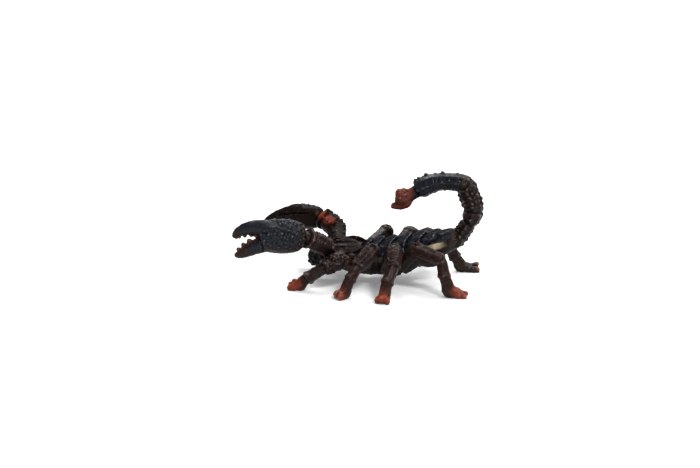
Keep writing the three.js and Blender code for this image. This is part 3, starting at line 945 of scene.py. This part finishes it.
RIGHT_ARM = {
    "root": (-12.8, 7.6, 17),
    "upper_arm": 4.6,
    "elbow": (-14.8, 18.6, 20.6),
    "wrist": (-22.8, 24.6, 24.6),
    "knuckle": (-40, 29.6, 23.9),
    "fore": 5.1,
    "tall": 6.1,
    "thick": 5.2,
    "upper": [
        (-31, 27.4, 24.8, 2.4, 3), (-35, 29, 25.2, 3.5, 3.9), (-38.4, 30, 25.3, 3.4, 3.7),
        (-42.4, 30.6, 24.6, 2.9, 3.2), (-47, 30.4, 23, 2.2, 2.6), (-50.6, 29.4, 21.4, 1.5, 1.9),
        (-53, 28.4, 20, 0.7, 0.9),
    ],
    "lower": [
        (-32, 27.8, 21.4, 2.2, 2.6), (-36, 29.2, 20.6, 2.8, 3.3), (-40, 29.6, 19.6, 2.6, 3),
        (-44.6, 29.6, 18.4, 2, 2.4), (-48.6, 28.8, 17.6, 1.4, 1.7), (-51, 28, 17.4, 0.7, 0.9),
    ],
    "seams": [[(-38.6, 34, 23), (-39, 34, 21.4), (-38.4, 34, 19.4), (-37.4, 34, 17.6)]],
    "creases": [
        [(-19.3, 17, 22.4), (-17.4, 16, 23.2), (-15.2, 15, 24.4)],
        [(-45, 28, 24.2), (-38, 26, 26.6), (-30, 24, 27), (-25, 22, 25.6)],
    ],
    "teeth": ((0.5, 0.94, 4, 1.25), (0.4, 0.94, 4, 1.25)),
}
HAND = [
    (0.015, 0.34), (0.03, 0.56), (0.06, 0.7), (0.12, 0.82), (0.23, 0.91), (0.38, 0.98), (0.55, 1),
    (0.75, 0.98), (0.92, 0.9), (1.02, 0.76), (1.08, 0.55), (1.1, 0.3),
]
UPPER_ARM = [(0, 0.8), (0.3, 0.9), (0.7, 0.98), (0.9, 1.06), (1.02, 1), (1.12, 0.8), (1.16, 0.4)]
FOREARM = [
    (-0.3, 0.3), (-0.24, 0.66), (-0.1, 0.92), (0.12, 1.02), (0.42, 1.04), (0.58, 0.96), (0.67, 0.84),
    (0.705, 0.86), (0.73, 1.04), (0.765, 1.13), (0.87, 1.13), (0.905, 0.98), (0.925, 0.64), (1.06, 0.6),
    (1.14, 0.4),
]
FOREARM_KEELS = ((0, 0.08, 16), (-95, 0.06, 14), (95, 0.06, 14))


def teeth(rings, under, first, last, count, size):
    """Rounded teeth along a finger's upper or under edge, each a little smaller than the last."""
    rings = eased(rings, 6)
    places = []
    for k in range(count):
        at = (first + (last - first) * k / (count - 1)) * (len(rings) - 1)
        edge = skin_point(rings, (0, 0, 1), at, 180 if under else 0, -0.15)
        places.append((edge, size * (1 - 0.1 * k), Vector((0, 0.35, 0))))
    return studs(places)


def hand_granules(hand, side, draw):
    """Close-set granules on the outer face of a hand, none nearer to another than their sizes allow."""
    outer = 80 if side < 0 else -80
    grains = []
    for _ in range(2600):
        at, turn = draw.uniform(2, len(hand) - 4), outer + draw.uniform(-72, 58)
        spot = skin_point(hand, (0, 0, 1), at, turn, 0.12)
        size = draw.uniform(0.45, 0.68)
        if all((spot - other).length > size + other_size for other, other_size, _ in grains):
            slant = Vector((draw.uniform(-1, 0.2), 0, draw.uniform(-1, 1))) * 0.5
            grains.append((spot, size, slant))
    return studs(grains)


def arm_knobs(fore, upper, hand, side, draw):
    """Rows of knobs along the forearm, loose ones on the upper arm, and a row along the top of the hand."""
    up = (0, 0, 1)
    knobs = []
    for turn, size, shift in (
        (0, 0.95, 0),
        (-side * 38, 0.75, 0.5),
        (side * 50, 0.7, 0.25),
        (-side * 80, 0.7, 0),
    ):
        for at in paces(fore, 1.9)[:-2]:
            spot = skin_point(fore, up, at + shift, turn + draw.uniform(-6, 6), 0.1)
            knobs.append((spot, size * draw.uniform(0.7, 1.1), None))
    for turn in (-120, -50, 20, 90, 160):
        for at in paces(upper, 2.6)[1:-1]:
            spot = scattered(draw, upper, up, at, turn, (0.3, 12), 0.2)
            knobs.append((spot, draw.uniform(0.5, 1.2), None))
    for at in paces(hand, 1.7)[1:9]:
        spot = skin_point(hand, up, at, draw.uniform(-10, 10), 0.1)
        knobs.append((spot, draw.uniform(0.5, 0.7), None))
    return studs(knobs)


def mark_arm_paints(piece, side, shape):
    """Marks the slate paint of the hand's outer side, the red of the finger edges, and the red cuff."""
    spots = corners(piece)
    x, y, z = spots.T
    elbow, wrist, knuckle = [Vector(shape[joint]) for joint in ("elbow", "wrist", "knuckle")]
    past_wrist = (spots - np.array(wrist)) @ np.array((knuckle - wrist).normalized())
    outside = (y - np.interp(x, (knuckle.x, wrist.x), (knuckle.y, wrist.y))) * side
    low_edge = np.interp(x, (knuckle.x, wrist.x), (knuckle.z, wrist.z)) - shape["tall"] * 0.72
    edges = []
    for finger, under in (("upper", -1), ("lower", 1)):
        line = [(ring[0], 0, ring[2] + under * ring[4] * 1.05) for ring in shape[finger][2:]]
        edges.append(near_line(spots * (1, 0, 1), line)[0])
    fingers = np.clip(1.3 - np.minimum(*edges) / 1.1, 0, 1) * np.clip((-42 - x) / 3, 0, 1)
    fingers = np.maximum(fingers, 0.7 * np.clip((-52.5 - x) / 3, 0, 1))
    hand_side = np.clip((past_wrist + 2) / 9, 0, 1) * np.clip(0.6 + outside / 6, 0, 1)
    over_belly = np.clip((z - low_edge) / 2 + (past_wrist > 19), 0, 1)
    mark(piece, "slate", hand_side * (1 - fingers) * over_belly)
    mark(piece, "teeth", fingers)
    cuff = [wrist + Vector((0, -side * 4, 3)), elbow.lerp(wrist, 0.35) + Vector((0, -side * 4, 2.5))]
    mark(piece, "cuff", np.clip(1 - near_line(spots, cuff)[0] / 5, 0, 1) * (side > 0))


def arm(name, side, shape, seed):
    """A whole arm, from its root in the trunk to the tips of its fingers."""
    draw = random.Random(seed)
    root, elbow, wrist, knuckle = [Vector(shape[joint]) for joint in ("root", "elbow", "wrist", "knuckle")]
    up = (0, 0, 1)
    thick, tall = shape["thick"], shape["tall"]
    hand = eased([(*wrist.lerp(knuckle, share), thick * grow, tall * grow) for share, grow in HAND], 3)
    solids = [
        segment(root.lerp(elbow, -0.2), elbow, shape["upper_arm"], UPPER_ARM, up, facets=8),
        segment(elbow, wrist, shape["fore"], FOREARM, up, facets=8, keels=FOREARM_KEELS),
        lofted(hand, 36, up, keels=((0, 0.04, 12), (180, 0.05, 14))),
    ]
    for finger, under, row in zip(("upper", "lower"), (True, False), shape["teeth"]):
        solids.append(lofted(eased(shape[finger], 4), 22, up, keels=((-side * 60, 0.05, 14),)))
        solids += teeth(shape[finger], under, *row)
    solids += hand_granules(hand, side, draw)
    fore = along_limb(elbow, wrist, shape["fore"], FOREARM)
    upper = along_limb(root, elbow, shape["upper_arm"], UPPER_ARM)
    solids += arm_knobs(fore, upper, hand, side, draw)
    piece = fused(name, solids)
    scored(piece, shape["seams"], 0.5, 0.8, across_y=side)
    scored(piece, shape["creases"], 0.5, 0.8, across_y=-1)
    mark_relief(piece)
    mark_arm_paints(piece, side, shape)
    return piece


left_paint = painted("left_arm_paint", [
    (BROWN, None, 0, 0),
    (SLATE, "slate", 0.6, 0.3),
    (RUST, "teeth", 0.95, 0.25),
], brush=0.8)
# The far arm is given the darker umber and less pale brushing than the near arm's brown: painted shade.
right_paint = painted("right_arm_paint", [
    (UMBER, None, 0, 0),
    (SLATE, "slate", 0.6, 0.3),
    (RUST, "teeth", 1.05, 0.25),
    (RUST, "cuff", 0.5, 0.2),
    (FLAME, "cuff", 0.85, 0.2),
], brush=0.5, sheen=0.3)
handed_over(arm("left_arm_moulding", -1, LEFT_ARM, 11), left_paint, "left_pincer_arm")
handed_over(arm("right_arm_moulding", 1, RIGHT_ARM, 12), right_paint, "right_pincer_arm")

# Tail
# One vinyl moulding, glued in behind the last plate, that curls up and forwards: five keeled segments with
# rows of granules and a crease at each joint, then the sting bulb on its short neck, and the blunt sting.

# Rows along a segment are (x, height, half width).
TAIL_SEGMENTS = [
    [(42, 20.4, 4.2), (44.6, 21.8, 4), (46.8, 23.9, 3.6), (48.5, 26.4, 3.5), (49.8, 28.6, 3.7),
     (50.5, 29.8, 3.4), (50.8, 30.4, 2.8)],
    [(50, 29, 2.8), (50.8, 30.2, 3.5), (51.7, 32, 4), (52.5, 34, 4.4), (52.8, 35.3, 4.5), (52.9, 36, 3.8)],
    [(53.3, 34.8, 3.2), (53.3, 36, 4.1), (52.6, 38.2, 4.4), (51.5, 41.2, 4.6), (50.4, 44.2, 4.5),
     (49.6, 46.7, 4.5), (49, 48.2, 4.1), (48.6, 49.2, 3.2)],
    [(51, 47, 3), (49.6, 48.3, 3.8), (47, 49.1, 4.2), (43.2, 49.5, 4.05), (39.4, 49.6, 3.95),
     (36.8, 49.5, 4.1), (35.6, 49.3, 3.4)],
    [(38, 49.8, 3.4), (36.6, 49.4, 4), (34, 48.9, 4.3), (30.5, 47.7, 4.6), (28, 46.4, 4.6),
     (26.8, 45.8, 4.4), (26, 45.3, 3.8), (25.6, 45.1, 3)],
]
NECK = [(27, 45.4, 3.2), (25, 44, 3.1), (23.4, 43, 3.1), (21.6, 42.2, 3.5), (19.6, 41.6, 3.6)]
BULB = [
    (22.9, 42.6, 2), (22, 42.2, 3.2), (20.6, 41.7, 4), (19, 41.3, 4.3), (17.4, 41, 3.9), (16.1, 40.9, 2.9),
    (15.5, 40.9, 1.6),
]
STING = [
    (22, 41.4, 2.7), (21, 39.8, 3.1), (19.6, 38.6, 3), (17.8, 37.7, 2.5), (16.2, 37.3, 2), (15, 37.2, 1.65),
    (14.2, 37.2, 1.4), (13.6, 37.3, 0.8),
]
# The creases between segments, as (x, height, half width, the way the tail runs there).
TAIL_CREASES = [
    (50.5, 29.9, 3.5, (0.5, 0.87)),
    (52.7, 35.9, 4.6, (0.1, 0.99)),
    (49.3, 48, 4.5, (-0.75, 0.66)),
]
# Knobs on top of the last two segments, as (x, size).
TOP_KNOBS = [(44.6, 0.5), (38.2, 0.85), (35.2, 0.5), (31.7, 0.9), (28.8, 0.7), (27, 0.65)]
# The last two segments' keels, by degrees: the pitch of their granules, and the smallest and the largest.
SMOOTH_KEELS = {
    0: (5, 0.4, 0.6), 45: (2.2, 0.45, 0.7), 90: (6, 0.4, 0.5), 135: (2.2, 0.45, 0.7),
    180: (5, 0.4, 0.6), 225: (2.2, 0.6, 0.95), 270: (2.2, 0.6, 0.95), 315: (2.2, 0.6, 0.95),
}
ROUGH_KEELS = {turn: (2.3, 0.8, 1.3) for turn in SMOOTH_KEELS}
OUTER_KEEL = 90


def round_rows(rows):
    """Rings of a part of the tail, which all lies in the plane of symmetry."""
    return eased([(x, 0, z, size, size) for x, z, size in rows], 3)


def tail_granules(rings, rough, draw):
    """Rows of granules along a segment's keels, and more of them between the keels where it is rough."""
    across = (0, 1, 0)
    granules = []
    for turn, (pitch, small, big) in (ROUGH_KEELS if rough else SMOOTH_KEELS).items():
        for at in paces(rings, pitch)[1:-1]:
            spot = scattered(draw, rings, across, at, turn, (0.4, 6), 0.15)
            granules.append((spot, draw.uniform(small, big), None))
        if rough:
            for at in paces(rings, 2.2)[1:-1]:
                spot = skin_point(rings, across, at, turn + 22 + draw.uniform(-8, 8), 0.2)
                granules.append((spot, draw.uniform(0.5, 1), None))
    return granules


def top_knobs(rings):
    """The larger knobs that stand on top of a smooth segment."""
    knobs = []
    for x, size in TOP_KNOBS:
        if rings[-1][0] < x <= rings[0][0] - 1:
            at = np.interp(-x, -rings[:, 0], np.arange(len(rings)))
            spot = skin_point(rings, (0, 1, 0), at, OUTER_KEEL, -0.25 * size)
            knobs.append((spot, size, Vector((-0.3, 0, 0.2))))
    return knobs


def wrinkles(rings, draw):
    """Fine ridges across the side of a smooth segment."""
    solids = []
    for at in paces(rings, 1.7)[1:-1]:
        line = []
        for turn in np.linspace(120, 240, 7) + draw.uniform(-20, 20):
            line.append(skin_point(rings, (0, 1, 0), at + draw.uniform(-0.3, 0.3), turn, 0.05))
        solids.append(ridge(line, draw.uniform(0.25, 0.42), taper=0.2))
    return solids


def tail():
    """The whole tail, from its root in the trunk to the tip of its sting."""
    draw = random.Random(21)
    across = Vector((0, 1, 0))
    solids, granules, creases = [], [], []
    for rows, rough in zip(TAIL_SEGMENTS, (True, True, True, False, False)):
        rings = round_rows(rows)
        keels = [(turn, 0.1 if rough or turn != OUTER_KEEL else 0.04, 11) for turn in SMOOTH_KEELS]
        solids.append(lofted(rings, 48, across, keels=keels))
        granules += tail_granules(rings, rough, draw)
        if not rough:
            granules += top_knobs(rings)
            solids += wrinkles(rings, draw)
    for x, z, size, (ahead_x, ahead_z) in TAIL_CREASES:
        upward = Vector((-ahead_z, 0, ahead_x))
        loop = []
        for angle in np.linspace(0, 6.283, 25):
            loop.append(Vector((x, 0, z)) + (across * math.sin(angle) + upward * math.cos(angle)) * size)
        creases.append(loop)
    for rows in (NECK, BULB, STING):
        solids.append(lofted(round_rows(rows), 24, across))
    bulb = round_rows(BULB)
    for _ in range(70):
        spot = skin_point(bulb, across, draw.uniform(1, 15), draw.uniform(0, 360), 0.1)
        if spot.z > 41.5:
            granules.append((spot, draw.uniform(0.45, 0.85), None))
    solids += studs(granules)
    piece = fused("tail_moulding", solids)
    scored(piece, creases, 0.5, 0.32)
    mark_relief(piece)
    x, _, z = corners(piece).T
    mark(piece, "slate", np.clip((51 - x) / 9, 0, 1) * np.clip((z - 40) / 3, 0, 1))
    end = np.clip((27.8 - x) / 6, 0, 1)
    mark(piece, "rust", end)
    mark(piece, "flame", end * np.clip((40.6 - z) / 3, 0, 1))
    return piece


tail_paint = painted("tail_paint", [
    (BARK, None, 0, 0),
    (SLATE, "slate", 0.6, 0.35),
    (RUST, "rust", 0.65, 0.25),
    (FLAME, "flame", 0.6, 0.25),
], brush=0.9, sheen=0.8)
handed_over(tail(), tail_paint, "tail")
